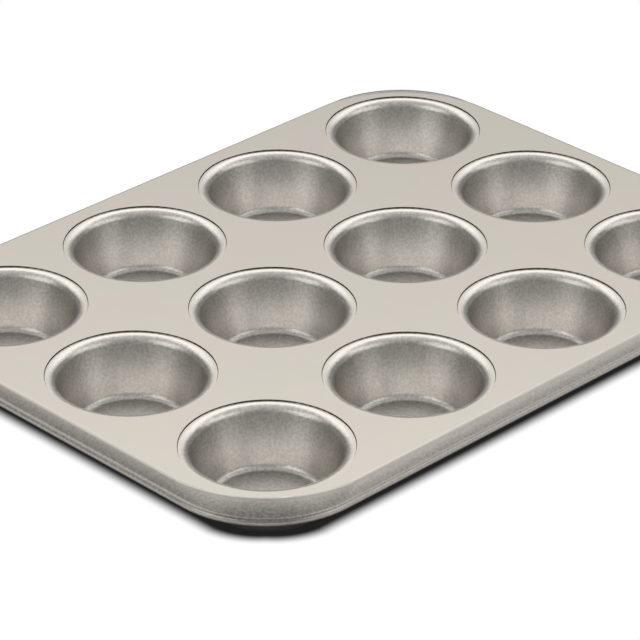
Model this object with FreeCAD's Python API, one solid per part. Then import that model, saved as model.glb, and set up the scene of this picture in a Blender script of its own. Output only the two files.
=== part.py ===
import FreeCAD, Part
import math
import os

# Muffin pan with twelve drawn cups, pressed from a single sheet of steel.
# Millimetres, +Z up. The origin is the bottom centre: the pan stands on the
# undersides of its cups. X is the long way of the pan.

# Layout of the cups
CUPS_LONG = 4
CUPS_WIDE = 3
WEB = 9.3  # flat metal between two neighbouring rings

# The sheet
SHEET = 0.6

# One cup, from the deck inwards and down
RING_DIAMETER = 74.7  # outer edge of the pressed ring round the cup
RING_STEP = 0.6  # how far the ring lies below the deck
RING_RUN = 0.3  # how far the step leans inwards over that drop
LEDGE = 0.8  # flat part of the ring
LIP_ROUND = 4.2  # radius that carries the ring over into the wall
WALL_DRAFT = 17.0  # lean of the wall from upright, degrees
CUP_DEPTH = 26.8  # deck down to the floor of the cup
FLOOR_ROUND = 3.0  # radius between the wall and the floor

# The deck beyond the outer rings
SIDE_LAND = 8.25  # ring to deck edge, square to a side
CORNER_LAND = 4.6  # ring to deck edge, on a corner's diagonal
DECK_EDGE_ROUND = 2.0

# The rim: a skirt that falls away from the deck, a foot and a rolled edge
SKIRT_RUN_SIDE = 4.1  # outward run of the skirt along the sides
SKIRT_RUN_CORNER = 9.5  # outward run of the skirt on the diagonals
SKIRT_DROP = 3.6
FOOT = 0.3  # flat between the skirt and the rolled edge
CURL_DIAMETER = 3.5
CURL_WRAP = 280.0  # how far the edge is rolled round, degrees

# Sizes that follow from the ones above
RING_RADIUS = RING_DIAMETER / 2
PITCH = RING_DIAMETER + WEB
DECK_Z = CUP_DEPTH + SHEET
CUP_SPAN_X = (CUPS_LONG - 1) * PITCH / 2
CUP_SPAN_Y = (CUPS_WIDE - 1) * PITCH / 2
JOIN_RADIUS = RING_RADIUS + 2 * SHEET  # where the cups' sheet meets the deck's
CURL_RADIUS = CURL_DIAMETER / 2
FOOT_Z = DECK_Z - SKIRT_DROP
CURL_Z = FOOT_Z - CURL_RADIUS

# Distances of each outline from the corner cup's centre: (to a side, on the diagonal)
DECK_EDGE = (RING_RADIUS + SIDE_LAND, RING_RADIUS + CORNER_LAND)
CREASE = (DECK_EDGE[0] + SKIRT_RUN_SIDE, DECK_EDGE[1] + SKIRT_RUN_CORNER)
CURL_LINE = (CREASE[0] + FOOT, CREASE[1] + FOOT)

UP = FreeCAD.Vector(0, 0, 1)


def corner_radius(edge):
    """Corner radius of an outline, from its distances to the side and on the diagonal."""
    side, diagonal = edge
    return (math.sqrt(2) * side - diagonal) / (math.sqrt(2) - 1)


def compass(degrees):
    """Level unit vector, anticlockwise from +X."""
    angle = math.radians(degrees)
    return FreeCAD.Vector(math.cos(angle), math.sin(angle), 0)


def corner_centres(edge):
    """Centres of an outline's four corner arcs, anticlockwise from +X +Y."""
    inset = corner_radius(edge) - edge[0]
    x = CUP_SPAN_X - inset
    y = CUP_SPAN_Y - inset
    signs = ((1, 1), (-1, 1), (-1, -1), (1, -1))
    return [FreeCAD.Vector(x * a, y * b, 0) for a, b in signs]


def outline(edge, z):
    """Closed rounded rectangle at height z."""
    radius = corner_radius(edge)
    centres = [c + UP * z for c in corner_centres(edge)]
    edges = []
    for turn, centre in enumerate(centres):
        start, middle, end = (
            centre + compass(90 * turn + step) * radius for step in (0, 45, 90)
        )
        edges.append(Part.Arc(start, middle, end).toShape())
        following = centres[(turn + 1) % 4]
        edges.append(Part.makeLine(end, following + compass(90 * turn + 90) * radius))
    return Part.Wire(edges)


def top_edges(solid, z):
    """The edges of a solid that lie at height z."""
    return [
        e for e in solid.Edges if abs(e.BoundBox.ZMin - z) < 1e-4 and abs(e.BoundBox.ZMax - z) < 1e-4
    ]


def plug(upper, lower, z, rounding):
    """Solid that tapers from an upper outline at z to a lower one, with its top edge rounded."""
    solid = Part.makeLoft([outline(upper, z), outline(lower, z - SKIRT_DROP)], True, True)
    return solid.makeFillet(rounding, top_edges(solid, z))


def inner(edge):
    """An outline of the sheet's underside, below the one given for its upper face."""
    side_slope = math.atan2(SKIRT_DROP, SKIRT_RUN_SIDE)
    corner_slope = math.atan2(SKIRT_DROP, SKIRT_RUN_CORNER)
    return (
        edge[0] - SHEET * math.tan(side_slope / 2),
        edge[1] - SHEET * math.tan(corner_slope / 2),
    )


def deck_and_skirt():
    """Flat deck, rounded edge, sloping skirt and level foot, all one sheet thick."""
    outside = plug(DECK_EDGE, CREASE, DECK_Z, DECK_EDGE_ROUND)
    foot = Part.Face(outline(CURL_LINE, FOOT_Z - SHEET)).extrude(UP * SHEET)
    hollow = plug(inner(DECK_EDGE), inner(CREASE), DECK_Z - SHEET, DECK_EDGE_ROUND - SHEET)
    return outside.fuse(foot).cut(hollow)


def curl_section(origin, outward):
    """Rolled edge in section: an open ring that starts level with the top of the foot."""

    def at(radius, degrees):
        angle = math.radians(degrees)
        return origin + outward * (radius * math.cos(angle)) + UP * (radius * math.sin(angle))

    first = 90.0
    last = first - CURL_WRAP
    middle = (first + last) / 2
    inside = CURL_RADIUS - SHEET
    outer_arc = Part.Arc(
        at(CURL_RADIUS, first), at(CURL_RADIUS, middle), at(CURL_RADIUS, last)
    ).toShape()
    inner_arc = Part.Arc(at(inside, last), at(inside, middle), at(inside, first)).toShape()
    tip = Part.makeLine(at(CURL_RADIUS, last), at(inside, last))
    start = Part.makeLine(at(inside, first), at(CURL_RADIUS, first))
    return Part.Face(Part.Wire([outer_arc, tip, inner_arc, start]))


def curl():
    """The rolled edge: its section run along the four sides and turned round the corners."""
    radius = corner_radius(CURL_LINE)
    centres = [c + UP * CURL_Z for c in corner_centres(CURL_LINE)]
    pieces = []
    for turn, centre in enumerate(centres):
        outward = compass(90 * turn)
        before = centres[turn - 1]
        section = curl_section(before + outward * radius, outward)
        pieces.append(section.extrude(centre - before))
        section = curl_section(centre + outward * radius, outward)
        pieces.append(section.revolve(centre, UP, 90))
    return pieces


def cup_face(below):
    """One face of a cup's sheet in section, `below` under the upper face, from join to axis."""
    draft = math.radians(WALL_DRAFT)
    slope = math.pi / 2 - draft
    bend = math.atan2(RING_STEP, RING_RUN)
    shift = below * math.tan(bend / 2)
    deck = DECK_Z - below
    ledge = deck - RING_STEP
    floor = DECK_Z - CUP_DEPTH - below

    def point(radius, z):
        return FreeCAD.Vector(radius, 0, z)

    # the lip's arc, convex upwards, from the ledge to the wall
    lip_radius = LIP_ROUND - below
    lip_centre = point(RING_RADIUS - RING_RUN - LEDGE, ledge - lip_radius)
    lip = [
        lip_centre + point(-math.sin(a), math.cos(a)) * lip_radius for a in (0, slope / 2, slope)
    ]
    # the floor's arc, hollow upwards, from the wall to the floor
    floor_radius = FLOOR_ROUND + below
    wall_end_z = floor + floor_radius * (1 - math.cos(slope))
    wall_end = point(lip[2].x - (lip[2].z - wall_end_z) * math.tan(draft), wall_end_z)
    floor_centre = point(wall_end.x - floor_radius * math.sin(slope), floor + floor_radius)
    bottom = [
        floor_centre + point(math.sin(a), -math.cos(a)) * floor_radius
        for a in (slope, slope / 2, 0)
    ]
    step_top = point(RING_RADIUS + shift, deck)
    step_foot = point(RING_RADIUS - RING_RUN + shift, ledge)
    return [
        Part.makeLine(point(JOIN_RADIUS, deck), step_top),
        Part.makeLine(step_top, step_foot),
        Part.makeLine(step_foot, lip[0]),
        Part.Arc(*lip).toShape(),
        Part.makeLine(lip[2], bottom[0]),
        Part.Arc(*bottom).toShape(),
        Part.makeLine(bottom[2], point(0, floor)),
    ]


def cup():
    """One cup with its ring, turned about the Z axis."""
    upper = cup_face(0)
    under = cup_face(SHEET)
    join = Part.makeLine(upper[0].firstVertex().Point, under[0].firstVertex().Point)
    axis = Part.makeLine(upper[-1].lastVertex().Point, under[-1].lastVertex().Point)
    section = Part.Wire(upper + [axis] + under[::-1] + [join])
    return Part.Face(section).revolve(FreeCAD.Vector(), UP, 360)


def cup_places():
    """Centres of the cups on the deck."""
    return [
        FreeCAD.Vector(i * PITCH - CUP_SPAN_X, j * PITCH - CUP_SPAN_Y, 0)
        for i in range(CUPS_LONG)
        for j in range(CUPS_WIDE)
    ]


def muffin_pan():
    """The whole pan as one solid."""
    opening = Part.makeCylinder(JOIN_RADIUS, 4 * SHEET, FreeCAD.Vector(0, 0, DECK_Z - 2 * SHEET))
    one_cup = cup()
    openings = [opening.translated(place) for place in cup_places()]
    cups = [one_cup.translated(place) for place in cup_places()]
    sheet = deck_and_skirt().cut(openings)
    return sheet.fuse(cups + curl()).removeSplitter()


os.makedirs("parts", exist_ok=True)
pan = muffin_pan()
print("valid", pan.isValid(), "solids", len(pan.Solids), "faces", len(pan.Faces))
print("volume mm3", round(pan.Volume, 1), "box", pan.BoundBox)
pan.exportStep("parts/muffin_pan.step")
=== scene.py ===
"""Looks of a twelve-cup muffin pan: a satin metallic coating on pressed sheet, in a pale studio."""

import math

import bpy
from mathutils import Matrix, Vector


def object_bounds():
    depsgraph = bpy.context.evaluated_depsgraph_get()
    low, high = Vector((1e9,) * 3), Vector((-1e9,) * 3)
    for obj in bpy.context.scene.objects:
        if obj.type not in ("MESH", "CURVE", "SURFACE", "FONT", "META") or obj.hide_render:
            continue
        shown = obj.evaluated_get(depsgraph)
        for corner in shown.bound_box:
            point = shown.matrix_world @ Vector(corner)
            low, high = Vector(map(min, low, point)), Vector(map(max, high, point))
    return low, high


bl_info = {
    "name": "Muffin pan studio",
    "version": (1, 0, 0),
    "blender": (4, 5, 0),
    "location": "View3D > Sidebar > Muffin pan",
    "description": "Finishes a pressed muffin pan and sets up its studio",
    "category": "Object",
}

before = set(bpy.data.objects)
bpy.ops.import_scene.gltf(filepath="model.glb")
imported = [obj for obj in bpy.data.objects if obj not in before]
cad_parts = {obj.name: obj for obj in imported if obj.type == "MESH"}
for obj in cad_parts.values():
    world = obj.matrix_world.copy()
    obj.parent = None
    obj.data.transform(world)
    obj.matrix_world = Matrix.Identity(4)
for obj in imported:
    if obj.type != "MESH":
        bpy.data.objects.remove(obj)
CAD_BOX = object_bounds()
PAN = "muffin_pan"
MM = 0.001

# The pan, as its source has it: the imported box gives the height, the rest are its own sizes
CUPS_LONG = 4
CUPS_WIDE = 3
PITCH = 84.0 * MM
RING_RADIUS = 37.35 * MM
RING_RUN = 0.3 * MM
DECK_Z = CAD_BOX[1].z
FOOT_Z = DECK_Z - 3.6 * MM
FLOOR_RADIUS = 22.9 * MM  # flat part of a cup's floor
SHADOW_CORE = 30.5 * MM  # end of the darkest shadow, out from the corner cups' axes
UP = Vector((0.0, 0.0, 1.0))

# Where each part of the finish and of the painted shade starts and where it is complete, as heights
DRAWN_METAL = (DECK_Z - 0.2 * MM, DECK_Z - 1.2 * MM)
OFF_DECK = (DECK_Z - 0.1 * MM, DECK_Z - 0.3 * MM)
WALL_RISE = (DECK_Z - 20.0 * MM, DECK_Z - 5.0 * MM)
WALL_TOP = (DECK_Z - 0.7 * MM, DECK_Z - 2.3 * MM)
FLOOR_LEVEL = (3.6 * MM, 1.0 * MM)
FILLET_LEVEL = (3.4 * MM, 2.0 * MM)
SKIRT_FALL = (DECK_Z - 0.8 * MM, FOOT_Z + 0.2 * MM)
ROLL_TOP = (FOOT_Z - 1.0 * MM, FOOT_Z - 0.2 * MM)
STEP_BELOW = (DECK_Z - 0.04 * MM, DECK_Z - 0.10 * MM)

# The same, as distances from a cup's axis, or past the corner cups' axes
CUP_REACH = (RING_RADIUS + 2.0 * MM, RING_RADIUS + 0.5 * MM)
FLOOR_FADE = (8.0 * MM, FLOOR_RADIUS)
FLOOR_END = (FLOOR_RADIUS + 1.2 * MM, FLOOR_RADIUS - 0.2 * MM)
FILLET_START = (FLOOR_RADIUS, FLOOR_RADIUS + 1.0 * MM)
STEP_OUTSIDE = (RING_RADIUS + 0.05 * MM, RING_RADIUS - 0.02 * MM)
STEP_INSIDE = (RING_RADIUS - RING_RUN - 0.05 * MM, RING_RADIUS - RING_RUN + 0.02 * MM)
CORNER_FADE = (12.0 * MM, 30.0 * MM)

# The same, as how level the metal lies (1 is flat), and as a share of the noise
TILTED = (0.998, 0.975)
FLOOR_TILT = (0.0, 0.3)
NOISE_MIDDLE = (0.35, 0.65)
NOISE_WIDE = (0.3, 0.7)

# Fixed shades and depths
BLACK = (0.0, 0.0, 0.0, 1.0)
WHITE = (1.0, 1.0, 1.0, 1.0)
# Dark for the grain and for painted shade
GRAIN_AND_SHADE_DARK = (0.02, 0.02, 0.02, 1.0)
# Painted shadow on each ring's step face
PAINTED_STEP_SHADOW = (0.01, 0.009, 0.008, 1.0)
GRAIN_DEPTH = 0.1 * MM
SPECKLE = 0.02  # how far the grain moves the roughness either way
SHADOW_LEFT = 0.015  # light left in the middle of the floor's shadow
REFLECTED_LEFT = 0.04  # the same in the pan's reflections
SHADOW_INSET = 6  # the shadow's edge starts a sixth of its width inside the core

# The room's light, as parts of a direction
ROOM_TURN = 0.6
ROOM_HEIGHT = (0.1, 0.95)
AHEAD = 0.01  # least part of a direction that counts as towards a panel


# Small helpers for node trees


class Nodes:
    """Adds nodes to one tree and links them, with inputs given by name or number."""

    def __init__(self, tree):
        self.tree = tree

    def add(self, kind, **settings):
        node = self.tree.nodes.new(kind)
        for name, value in settings.items():
            setattr(node, name, value)
        return node

    def put(self, socket, value):
        """Links a socket to another node's output, or sets it to a plain value."""
        if isinstance(value, bpy.types.NodeSocket):
            self.tree.links.new(value, socket)
        else:
            socket.default_value = value

    def math(self, operation, a, b=0.0, clamp=False):
        node = self.add("ShaderNodeMath", operation=operation, use_clamp=clamp)
        self.put(node.inputs[0], a)
        self.put(node.inputs[1], b)
        return node.outputs[0]

    def chain(self, operation, first, *rest):
        """Applies one operation from left to right over several values."""
        for value in rest:
            first = self.math(operation, first, value)
        return first

    def vector(self, operation, a, b=(0.0, 0.0, 0.0)):
        node = self.add("ShaderNodeVectorMath", operation=operation)
        self.put(node.inputs[0], a)
        self.put(node.inputs[1], b)
        return node.outputs["Value" if operation in ("DOT_PRODUCT", "LENGTH") else "Vector"]

    def dot(self, a, b):
        return self.vector("DOT_PRODUCT", a, b)

    def ramp(self, value, low, high, start=0.0, end=1.0):
        """Smooth change from start to end as value goes from low to high."""
        node = self.add("ShaderNodeMapRange", interpolation_type="SMOOTHSTEP")
        for socket, number in zip(node.inputs, (value, low, high, start, end)):
            self.put(socket, number)
        return node.outputs[0]

    def noise(self, vector, scale, detail=2.0, rough=0.5):
        node = self.add("ShaderNodeTexNoise")
        self.put(node.inputs["Vector"], vector)
        self.put(node.inputs["Scale"], scale)
        self.put(node.inputs["Detail"], detail)
        self.put(node.inputs["Roughness"], rough)
        return node.outputs["Fac"]

    def mix(self, factor, a, b):
        node = self.add("ShaderNodeMix", data_type="RGBA")
        self.put(node.inputs["Factor"], factor)
        self.put(node.inputs[6], a)
        self.put(node.inputs[7], b)
        return node.outputs[2]

    def group(self, tree, **values):
        node = self.add("ShaderNodeGroup", node_tree=tree)
        for name, value in values.items():
            self.put(node.inputs[name.replace("_", " ")], value)
        return node

    def blend(self, factor, first, second):
        """Mix of two shader nodes, all of the second where the factor is 1."""
        node = self.add("ShaderNodeMixShader")
        for socket, value in zip(node.inputs, (factor, first.outputs[0], second.outputs[0])):
            self.put(socket, value)
        return node

    def close(self, kind, shader):
        """Ends the tree in an output node of the given kind."""
        self.put(self.add(kind).inputs["Surface"], shader.outputs[0])


def emptied(owner):
    """Node helper on the cleared tree of a new material or world."""
    owner.use_nodes = True
    owner.node_tree.nodes.clear()
    return Nodes(owner.node_tree)


def new_group(name, inputs, outputs):
    """Shader node group from its inputs (name: default, a tuple for a vector) and outputs (name: kind)."""
    tree = bpy.data.node_groups.new(name, "ShaderNodeTree")
    for label, default in inputs.items():
        kind = "NodeSocketVector" if isinstance(default, tuple) else "NodeSocketFloat"
        socket = tree.interface.new_socket(label, in_out="INPUT", socket_type=kind)
        socket.default_value = default
    for label, kind in outputs.items():
        tree.interface.new_socket(label, in_out="OUTPUT", socket_type=kind)
    nodes = Nodes(tree)
    entry = nodes.add("NodeGroupInput")
    exit_node = nodes.add("NodeGroupOutput")
    return tree, nodes, entry.outputs, exit_node.inputs


# Effects that the finishes share


def cup_layout_group():
    """Where a place on the pan lies against its nearest cup and against the row of corner cups.

    Radius and Outward run from the axis of the nearest cup. Side is the distance outside the
    rectangle that joins the corner cups' axes, and Corner is how far a place is past both its sides.
    """
    tree, n, given, out = new_group(
        "cup_layout",
        {"Place": (0.0, 0.0, 0.0)},
        {"Radius": "NodeSocketFloat", "Outward": "NodeSocketVector", "Height": "NodeSocketFloat",
         "Side": "NodeSocketFloat", "Corner": "NodeSocketFloat"},
    )
    parts = n.add("ShaderNodeSeparateXYZ")
    n.put(parts.inputs[0], given["Place"])
    local = []
    past = []
    for axis, count in ((0, CUPS_LONG), (1, CUPS_WIDE)):
        shifted = n.math("ADD", parts.outputs[axis], count * PITCH / 2)
        cell = n.math("FLOOR", n.math("DIVIDE", shifted, PITCH))
        cell = n.math("MINIMUM", n.math("MAXIMUM", cell, 0.0), count - 1.0)
        centre = n.math("MULTIPLY", n.math("ADD", cell, 0.5), PITCH)
        local.append(n.math("SUBTRACT", shifted, centre))
        reach = n.math("SUBTRACT", n.math("ABSOLUTE", parts.outputs[axis]), (count - 1) * PITCH / 2)
        past.append(n.math("MAXIMUM", reach, 0.0))
    outward = n.add("ShaderNodeCombineXYZ")
    outside = n.add("ShaderNodeCombineXYZ")
    for axis in (0, 1):
        n.put(outward.inputs[axis], local[axis])
        n.put(outside.inputs[axis], past[axis])
    n.put(out["Radius"], n.vector("LENGTH", outward.outputs[0]))
    n.put(out["Outward"], n.vector("NORMALIZE", outward.outputs[0]))
    n.put(out["Side"], n.vector("LENGTH", outside.outputs[0]))
    n.put(out["Corner"], n.math("MINIMUM", past[0], past[1]))
    n.put(out["Height"], parts.outputs[2])
    return tree


def turned_normal_group():
    """Normal of a cup as if truly turned: the mesh's own lean, pointed straight from the axis."""
    tree, n, given, out = new_group(
        "turned_normal",
        {"Own normal": (0.0, 0.0, 1.0), "Outward": (1.0, 0.0, 0.0), "Turned": 1.0},
        {"Normal": "NodeSocketVector"},
    )
    radial = n.dot(given["Own normal"], given["Outward"])
    upright = n.add("ShaderNodeCombineXYZ")
    n.put(upright.inputs[2], n.dot(given["Own normal"], UP))
    scaled = n.add("ShaderNodeVectorMath", operation="SCALE")
    n.put(scaled.inputs[0], given["Outward"])
    n.put(scaled.inputs["Scale"], radial)
    turned = n.vector("ADD", scaled.outputs[0], upright.outputs[0])
    blend = n.add("ShaderNodeMix", data_type="VECTOR")
    n.put(blend.inputs["Factor"], given["Turned"])
    n.put(blend.inputs[4], given["Own normal"])
    n.put(blend.inputs[5], turned)
    to_world = n.add("ShaderNodeVectorTransform", vector_type="NORMAL")
    to_world.convert_from = "OBJECT"
    to_world.convert_to = "WORLD"
    n.put(to_world.inputs[0], n.vector("NORMALIZE", blend.outputs[1]))
    n.put(out["Normal"], to_world.outputs[0])
    return tree


def flake_group():
    """Grain of the coating: fine metallic flake and wide clouds, with sizes in millimetres."""
    tree, n, given, out = new_group(
        "coating_flake",
        {"Place": (0.0, 0.0, 0.0), "Flake size": 1.0, "Cloud size": 30.0},
        {"Flake": "NodeSocketFloat", "Cloud": "NodeSocketFloat"},
    )
    for name, detail, rough in (("Flake", 3.0, 0.65), ("Cloud", 2.0, 0.5)):
        scale = n.math("DIVIDE", 1.0 / MM, given[name + " size"])
        n.put(out[name], n.noise(given["Place"], scale, detail, rough))
    return tree


# The pan's finish, with its painted shade


def coating_material(look):
    """Satin champagne coating with flake and draw marks in the cups, painted shade in the cups and on the
    rim, and a painted shadow line at each ring.
    """
    material = bpy.data.materials.new("champagne_coating")
    n = emptied(material)
    coordinates = n.add("ShaderNodeTexCoord").outputs
    place = coordinates["Object"]
    layout = n.group(cup_layout_group(), Place=place).outputs
    flake = n.group(flake_group(), Place=place, Flake_size=look.flake_size,
                    Cloud_size=look.cloud_size).outputs
    radius = layout["Radius"]
    height = layout["Height"]
    grain = flake["Flake"]

    # Metal that was drawn below the deck is greyer, rougher and more grainy than the flat deck
    drawn = n.ramp(height, *DRAWN_METAL)
    in_cup = n.ramp(radius, *CUP_REACH)
    level = n.dot(coordinates["Normal"], UP)
    # The skirt, the rolled edge and the deck's rounded edge, found by height and by tilt, take a darker
    # copy of the coating colour: painted shade, which also dims the highlight on the deck's rounded edge
    off_deck = n.math("MAXIMUM", n.ramp(height, *OFF_DECK), n.ramp(level, *TILTED))
    on_skirt = n.math("MULTIPLY", off_deck, n.math("SUBTRACT", 1.0, in_cup))
    clouds = n.ramp(flake["Cloud"], *NOISE_MIDDLE)
    tint = n.mix(clouds, (*look.cool_tint, 1.0), (*look.warm_tint, 1.0))
    tint = n.mix(drawn, tint, (*look.drawn_tint, 1.0))
    tint = n.mix(on_skirt, tint, (*look.shaded_skirt_tint, 1.0))

    # Darker places in the cups: the mottled grain of the drawn metal, and painted shade on the upper wall,
    # round the floor's edge and in its fillet
    mottle = n.math("MULTIPLY", drawn, n.ramp(grain, *NOISE_MIDDLE, look.mottle, 0.0))
    wall = n.math("MULTIPLY", n.ramp(height, *WALL_RISE), n.ramp(height, *WALL_TOP))
    painted_upper_shade = n.chain("MULTIPLY", wall, in_cup, look.upper_wall_shade)
    floor_up = n.math("MULTIPLY", n.ramp(level, *FLOOR_TILT), n.ramp(height, *FLOOR_LEVEL))
    edge = n.math("MULTIPLY", n.ramp(radius, *FLOOR_FADE), n.ramp(radius, *FLOOR_END))
    painted_floor_shade = n.chain("MULTIPLY", floor_up, edge, look.painted_floor_shade)
    painted_fillet_shade = n.math("MULTIPLY", n.ramp(radius, *FILLET_START),
                    n.ramp(height, *FILLET_LEVEL, 0.0, look.painted_fillet_shade))
    painted_cup_shade = n.chain("ADD", painted_floor_shade, painted_fillet_shade, painted_upper_shade)

    # Painted shade on the rim: down the skirt, strongest at its foot and the top of the rolled edge, and
    # on the skirt's corners
    foot = n.math("MULTIPLY", n.ramp(height, *SKIRT_FALL), n.ramp(height, *ROLL_TOP))
    corner = n.ramp(layout["Corner"], *CORNER_FADE)
    painted_rim_shade = n.math("ADD", n.math("MULTIPLY", foot, look.skirt_foot_shade),
                  n.math("MULTIPLY", corner, look.skirt_corner_shade))
    on_rim = n.math("MULTIPLY", on_skirt, painted_rim_shade)
    # The mottle is the metal's own grain; the rest of this darkening is painted shade in the cups and on
    # the rim
    grain_and_painted_shade = n.math("ADD", n.math("ADD", mottle, painted_cup_shade), on_rim, clamp=True)
    tint = n.mix(grain_and_painted_shade, tint, GRAIN_AND_SHADE_DARK)

    # The step face of each ring is painted near black: a painted shadow line round each cup
    painted_step_shadow = n.chain("MULTIPLY", n.ramp(radius, *STEP_OUTSIDE), n.ramp(radius, *STEP_INSIDE),
                        n.ramp(height, *STEP_BELOW), look.ring_shadow)
    colour = n.mix(painted_step_shadow, tint, PAINTED_STEP_SHADOW)

    turned = n.group(turned_normal_group(), Own_normal=coordinates["Normal"], Outward=layout["Outward"],
                     Turned=in_cup)
    bump = n.add("ShaderNodeBump")
    n.put(bump.inputs["Strength"], look.flake_strength)
    n.put(bump.inputs["Distance"], GRAIN_DEPTH)
    n.put(bump.inputs["Height"], n.math("MULTIPLY", grain, n.math("ADD", look.deck_grain, drawn)))
    n.put(bump.inputs["Normal"], turned.outputs[0])

    shader = n.add("ShaderNodeBsdfPrincipled")
    n.put(shader.inputs["Base Color"], colour)
    n.put(shader.inputs["Metallic"], 1.0)
    speckle = n.ramp(grain, *NOISE_WIDE, look.roughness - SPECKLE, look.roughness + SPECKLE)
    n.put(shader.inputs["Roughness"], n.math("ADD", speckle, n.math("MULTIPLY", drawn, look.drawn_rough)))
    n.put(shader.inputs["Normal"], bump.outputs[0])
    n.close("ShaderNodeOutputMaterial", shader)
    return material


# The studio


def softbox(n, direction, heading, panel):
    """Mask of one soft-edged panel in the sky, from its turn, height and half sizes as angles."""
    turn, height, half_width, half_height, edge = panel
    along = Matrix.Rotation(-turn, 3, "Z") @ heading
    centre = along * math.cos(height) + UP * math.sin(height)
    across = UP.cross(along)
    rise = centre.cross(across)
    depth = n.dot(direction, centre)
    near = n.math("MAXIMUM", depth, AHEAD)
    mask = n.math("GREATER_THAN", depth, AHEAD)
    for axis, half in ((across, half_width), (rise, half_height)):
        reach = n.math("ABSOLUTE", n.math("DIVIDE", n.dot(direction, axis), near))
        inside = n.ramp(reach, math.tan(half - edge / 2), math.tan(half + edge / 2), 1.0, 0.0)
        mask = n.math("MULTIPLY", mask, inside)
    return mask


def studio_world(studio):
    """A grey room, darker at the horizon, with a wide panel ahead and a softbox behind on each side."""
    world = bpy.data.worlds.new("studio")
    n = emptied(world)
    direction = n.add("ShaderNodeTexCoord").outputs["Generated"]
    away = camera_heading(studio.azimuth)
    forward = n.dot(direction, away)
    wall = n.ramp(forward, -ROOM_TURN, ROOM_TURN, studio.room_behind, studio.room_ahead)
    high = n.ramp(n.dot(direction, UP), *ROOM_HEIGHT)
    strength = n.math("ADD", n.math("MULTIPLY", n.math("SUBTRACT", 1.0, high), wall),
                      n.math("MULTIPLY", high, studio.room_above))
    panels = (
        (0.0, studio.panel_height, studio.panel_half_width, studio.panel_half_height, studio.panel_edge,
         studio.panel),
        (studio.right_turn, studio.side_height, studio.right_half_width, studio.side_half_height,
         studio.side_edge, studio.right_box),
        (studio.left_turn, studio.side_height, studio.left_half_width, studio.side_half_height,
         studio.side_edge, studio.left_box),
    )
    for *shape, level in panels:
        mask = softbox(n, direction, away, shape)
        strength = n.math("ADD", strength, n.math("MULTIPLY", mask, level))
    path = n.add("ShaderNodeLightPath")
    lit = n.add("ShaderNodeBackground")
    n.put(lit.inputs["Strength"], strength)
    n.put(lit.inputs["Color"], (*studio.light_tint, 1.0))
    plain = n.add("ShaderNodeBackground")
    n.put(plain.inputs["Color"], WHITE)
    n.put(plain.inputs["Strength"], 1.0)
    n.close("ShaderNodeOutputWorld", n.blend(path.outputs["Is Camera Ray"], lit, plain))
    bpy.context.scene.world = world


def floor_material(studio):
    """White floor with the pan's shadow: tight where the camera sees it, wide in its reflections."""
    material = bpy.data.materials.new("studio_floor")
    n = emptied(material)
    place = n.add("ShaderNodeTexCoord").outputs["Object"]
    layout = n.group(cup_layout_group(), Place=place).outputs
    side = n.math("ADD", layout["Side"], n.math("MULTIPLY", layout["Corner"], studio.shadow_corner))
    tight = n.ramp(side, SHADOW_CORE - studio.shadow_tight / SHADOW_INSET,
                   SHADOW_CORE + studio.shadow_tight, SHADOW_LEFT, 1.0)
    wide = n.ramp(side, SHADOW_CORE, SHADOW_CORE + studio.shadow_wide, REFLECTED_LEFT, 1.0)
    path = n.add("ShaderNodeLightPath")
    glossy = n.math("MAXIMUM", path.outputs["Is Glossy Ray"], path.outputs["Is Transmission Ray"])
    seen = n.math("MAXIMUM", path.outputs["Is Camera Ray"], glossy)
    level = n.math("ADD", n.math("MULTIPLY", path.outputs["Is Camera Ray"], tight),
                   n.math("MULTIPLY", glossy, wide))
    white = n.add("ShaderNodeEmission")
    n.put(white.inputs["Color"], n.mix(level, BLACK, WHITE))
    plain = n.add("ShaderNodeBsdfDiffuse")
    n.put(plain.inputs["Color"], (studio.floor_grey, studio.floor_grey, studio.floor_grey, 1.0))

    # Seen from below, the floor isn't there
    back = n.add("ShaderNodeNewGeometry").outputs["Backfacing"]
    see_through = n.add("ShaderNodeBsdfTransparent")
    n.close("ShaderNodeOutputMaterial", n.blend(back, n.blend(seen, plain, white), see_through))
    return material


def camera_heading(azimuth):
    """Level unit vector from the camera towards the pan."""
    return Vector((-math.sin(azimuth), math.cos(azimuth), 0.0))


def add_floor(studio):
    """A wide floor just under the pan."""
    size = studio.floor_size / 2
    mesh = bpy.data.meshes.new("studio_floor")
    corners = [(-size, -size, 0), (size, -size, 0), (size, size, 0), (-size, size, 0)]
    mesh.from_pydata(corners, [], [(0, 1, 2, 3)])
    floor = bpy.data.objects.new("studio_floor", mesh)
    floor.location.z = -studio.floor_gap
    bpy.context.scene.collection.objects.link(floor)
    mesh.materials.append(floor_material(studio))


def add_camera(studio):
    """The photograph's view: a long lens, aimed at a point on the deck left of its middle."""
    data = bpy.data.cameras.new("camera")
    data.sensor_width = 36.0
    data.lens = studio.lens
    camera = bpy.data.objects.new("camera", data)
    bpy.context.scene.collection.objects.link(camera)
    aim = Vector((studio.aim_x, studio.aim_y, DECK_Z))
    level = camera_heading(studio.azimuth) * math.cos(studio.elevation)
    forward = level - UP * math.sin(studio.elevation)
    camera.location = aim - forward * studio.distance
    camera.rotation_mode = "QUATERNION"
    camera.rotation_quaternion = forward.to_track_quat("-Z", "Y")
    data.clip_start = 0.05
    data.clip_end = 50.0
    bpy.context.scene.camera = camera


# Sizes and colours that a user would change


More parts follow.
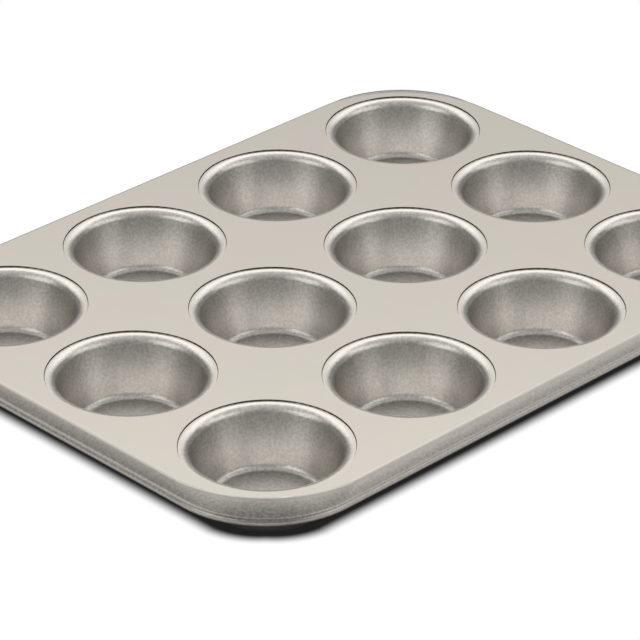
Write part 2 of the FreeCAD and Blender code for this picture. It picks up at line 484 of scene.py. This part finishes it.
class PanLook(bpy.types.PropertyGroup):
    """Finish of the pan, with its painted shade and shadow."""

    warm_tint: bpy.props.FloatVectorProperty(
        name="Warm tint", description="Coating colour in its warmer clouds", subtype="COLOR",
        default=(0.66, 0.61, 0.568), min=0.0, max=1.0,
    )
    cool_tint: bpy.props.FloatVectorProperty(
        name="Cool tint", description="Coating colour in its cooler clouds", subtype="COLOR",
        default=(0.64, 0.618, 0.56), min=0.0, max=1.0,
    )
    drawn_tint: bpy.props.FloatVectorProperty(
        name="Drawn tint", description="Coating colour inside the cups", subtype="COLOR",
        default=(0.8, 0.775, 0.742), min=0.0, max=1.0,
    )
    # A darker copy of the coating colour: painted shade on the skirt, the rolled edge and the deck's
    # rounded edge
    shaded_skirt_tint: bpy.props.FloatVectorProperty(
        name="Skirt tint", description="Coating colour on the skirt and the rolled edge",
        subtype="COLOR", default=(0.44, 0.42, 0.39), min=0.0, max=1.0,
    )
    mottle: bpy.props.FloatProperty(
        name="Mottle", description="Share of colour that the grain takes from drawn metal",
        default=0.17, min=0.0, max=1.0,
    )
    # Painted shade towards the top of each cup's wall
    upper_wall_shade: bpy.props.FloatProperty(
        name="Upper wall", description="Share of colour lost at the top of each cup's wall",
        default=0.3, min=0.0, max=1.0,
    )
    # Painted shade where the wall turns into the floor
    painted_fillet_shade: bpy.props.FloatProperty(
        name="Floor fillet", description="Share of colour lost where the wall turns into the floor",
        default=0.3, min=0.0, max=1.0,
    )
    # Painted shade round the edge of each cup's floor
    painted_floor_shade: bpy.props.FloatProperty(
        name="Floor edge", description="Share of colour lost round the edge of each cup's floor",
        default=0.52, min=0.0, max=1.0,
    )
    # Painted shade down the skirt to its foot
    skirt_foot_shade: bpy.props.FloatProperty(
        name="Skirt foot", description="Share of colour lost down the skirt", default=0.28,
        min=0.0, max=1.0,
    )
    # Painted shade on the skirt's corners
    skirt_corner_shade: bpy.props.FloatProperty(
        name="Skirt corner", description="Share of colour lost on the skirt's corners", default=0.25,
        min=0.0, max=1.0,
    )
    drawn_rough: bpy.props.FloatProperty(
        name="Drawn roughness", description="Roughness that drawing adds below the deck",
        default=0.01, min=0.0, max=1.0,
    )
    roughness: bpy.props.FloatProperty(
        name="Roughness", description="Softness of the reflections", default=0.3, min=0.0, max=1.0,
    )
    flake_size: bpy.props.FloatProperty(
        name="Flake size", description="Grain of the coating, in millimetres", default=1.3, min=0.1,
    )
    cloud_size: bpy.props.FloatProperty(
        name="Cloud size", description="Width of the clouds of warmer and cooler colour, in millimetres",
        default=30.0, min=1.0,
    )
    flake_strength: bpy.props.FloatProperty(
        name="Flake strength", description="Depth of the grain", default=0.9, min=0.0, max=1.0,
    )
    deck_grain: bpy.props.FloatProperty(
        name="Deck grain", description="Share of that depth on the flat deck", default=0.02,
        min=0.0, max=1.0,
    )
    # Strength of the painted shadow on the step round each cup
    ring_shadow: bpy.props.FloatProperty(
        name="Ring line", description="Darkness of the step round each cup", default=0.95,
        min=0.0, max=1.0,
    )


class PanStudio(bpy.types.PropertyGroup):
    """Light, floor and camera."""

    azimuth: bpy.props.FloatProperty(
        name="Azimuth", description="Camera's turn round the pan, from looking along +Y",
        subtype="ANGLE", default=math.radians(-44.512),
    )
    elevation: bpy.props.FloatProperty(
        name="Elevation", description="Camera's height above the horizon", subtype="ANGLE",
        default=math.radians(28.984),
    )
    distance: bpy.props.FloatProperty(
        name="Distance", description="Camera to its aim point", unit="LENGTH", default=1.6456,
    )
    aim_x: bpy.props.FloatProperty(
        name="Aim X", description="Where the camera aims on the deck", unit="LENGTH",
        default=-35.66 * MM,
    )
    aim_y: bpy.props.FloatProperty(
        name="Aim Y", description="Where the camera aims on the deck", unit="LENGTH",
        default=-23.41 * MM,
    )
    lens: bpy.props.FloatProperty(
        name="Lens", description="Focal length in millimetres on a 36 mm sensor", default=210.9,
    )
    panel: bpy.props.FloatProperty(
        name="Panel", description="Brightness that the wide panel ahead adds", default=0.9,
    )
    panel_height: bpy.props.FloatProperty(
        name="Panel height", description="Elevation of the panel's middle", subtype="ANGLE",
        default=math.radians(48.5),
    )
    panel_half_width: bpy.props.FloatProperty(
        name="Panel half width", description="Half the angle across the panel", subtype="ANGLE",
        default=math.radians(50.0),
    )
    panel_half_height: bpy.props.FloatProperty(
        name="Panel half height", description="Half the angle up the panel", subtype="ANGLE",
        default=math.radians(20.0),
    )
    panel_edge: bpy.props.FloatProperty(
        name="Panel edge", description="Softness of the panel's edge", subtype="ANGLE",
        default=math.radians(20.0),
    )
    right_turn: bpy.props.FloatProperty(
        name="Right box turn", description="Right softbox, clockwise from straight ahead",
        subtype="ANGLE", default=math.radians(107.0),
    )
    left_turn: bpy.props.FloatProperty(
        name="Left box turn", description="Left softbox, clockwise from straight ahead",
        subtype="ANGLE", default=math.radians(-124.0),
    )
    side_height: bpy.props.FloatProperty(
        name="Side box height", description="Elevation of both rear softboxes", subtype="ANGLE",
        default=math.radians(29.0),
    )
    right_half_width: bpy.props.FloatProperty(
        name="Right box half width", description="Half the angle across the right softbox",
        subtype="ANGLE", default=math.radians(26.0),
    )
    left_half_width: bpy.props.FloatProperty(
        name="Left box half width", description="Half the angle across the left softbox",
        subtype="ANGLE", default=math.radians(22.0),
    )
    side_half_height: bpy.props.FloatProperty(
        name="Side box half height", description="Half the angle up a rear softbox",
        subtype="ANGLE", default=math.radians(16.0),
    )
    side_edge: bpy.props.FloatProperty(
        name="Side box edge", description="Softness of a rear softbox's edge", subtype="ANGLE",
        default=math.radians(16.0),
    )
    right_box: bpy.props.FloatProperty(
        name="Right box", description="Brightness that the right softbox adds", default=1.1,
    )
    left_box: bpy.props.FloatProperty(
        name="Left box", description="Brightness that the left softbox adds", default=1.2,
    )
    room_above: bpy.props.FloatProperty(
        name="Room above", description="Brightness overhead", default=0.68,
    )
    room_ahead: bpy.props.FloatProperty(
        name="Room ahead", description="Brightness of the horizon ahead", default=0.25,
    )
    room_behind: bpy.props.FloatProperty(
        name="Room behind", description="Brightness of the horizon behind the camera", default=0.36,
    )
    light_tint: bpy.props.FloatVectorProperty(
        name="Light tint", description="Colour of the studio light", subtype="COLOR",
        default=(1.0, 0.985, 0.955), min=0.0, max=1.0,
    )
    floor_size: bpy.props.FloatProperty(
        name="Floor size", description="Side of the floor", unit="LENGTH", default=8.0,
    )
    floor_gap: bpy.props.FloatProperty(
        name="Floor gap", description="Floor below the pan's feet", unit="LENGTH", default=0.05 * MM,
    )
    floor_grey: bpy.props.FloatProperty(
        name="Floor grey", description="Floor's own grey", default=0.85, min=0.0, max=1.0,
    )
    shadow_tight: bpy.props.FloatProperty(
        name="Shadow edge", description="Width over which the shadow fades to white", unit="LENGTH",
        default=7.0 * MM,
    )
    shadow_corner: bpy.props.FloatProperty(
        name="Shadow corner", description="How much sooner the shadow ends at a corner",
        default=0.15, min=0.0, max=1.0,
    )
    shadow_wide: bpy.props.FloatProperty(
        name="Reflected shadow", description="The same in the pan's reflections", unit="LENGTH",
        default=65.0 * MM,
    )


# Operators


class MUFFIN_OT_finish_pan(bpy.types.Operator):
    """Give the pressed pan its satin metallic coating, with painted shade and painted shadow lines"""

    bl_idname = "muffin.finish_pan"
    bl_label = "Finish the pan"

    def execute(self, context):
        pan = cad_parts[PAN]
        pan.data.materials.clear()
        pan.data.materials.append(coating_material(context.scene.muffin_pan_look))
        return {"FINISHED"}


class MUFFIN_OT_build_studio(bpy.types.Operator):
    """Set up the floor, the light and the camera"""

    bl_idname = "muffin.build_studio"
    bl_label = "Build the studio"

    def execute(self, context):
        studio = context.scene.muffin_pan_studio
        context.scene.view_settings.view_transform = "Standard"
        studio_world(studio)
        add_floor(studio)
        add_camera(studio)
        return {"FINISHED"}


class MUFFIN_PT_panel(bpy.types.Panel):
    """Sizes, colours and steps of the muffin pan"""

    bl_idname = "MUFFIN_PT_panel"
    bl_label = "Muffin pan"
    bl_space_type = "VIEW_3D"
    bl_region_type = "UI"
    bl_category = "Muffin pan"

    def draw(self, context):
        for settings in (context.scene.muffin_pan_look, context.scene.muffin_pan_studio):
            box = self.layout.box()
            for name in settings.__annotations__:
                box.prop(settings, name)
        for step in STEPS:
            self.layout.operator(step.bl_idname)


SETTINGS = {"muffin_pan_look": PanLook, "muffin_pan_studio": PanStudio}
STEPS = (MUFFIN_OT_finish_pan, MUFFIN_OT_build_studio)


def register():
    for settings in SETTINGS.values():
        bpy.utils.register_class(settings)
    for step in (*STEPS, MUFFIN_PT_panel):
        bpy.utils.register_class(step)
    for name, settings in SETTINGS.items():
        setattr(bpy.types.Scene, name, bpy.props.PointerProperty(type=settings))


def unregister():
    for name in SETTINGS:
        delattr(bpy.types.Scene, name)
    for step in (MUFFIN_PT_panel, *reversed(STEPS)):
        bpy.utils.unregister_class(step)
    for settings in SETTINGS.values():
        bpy.utils.unregister_class(settings)


def main():
    register()
    bpy.ops.muffin.finish_pan()
    bpy.ops.muffin.build_studio()


if __name__ == "__main__":
    main()
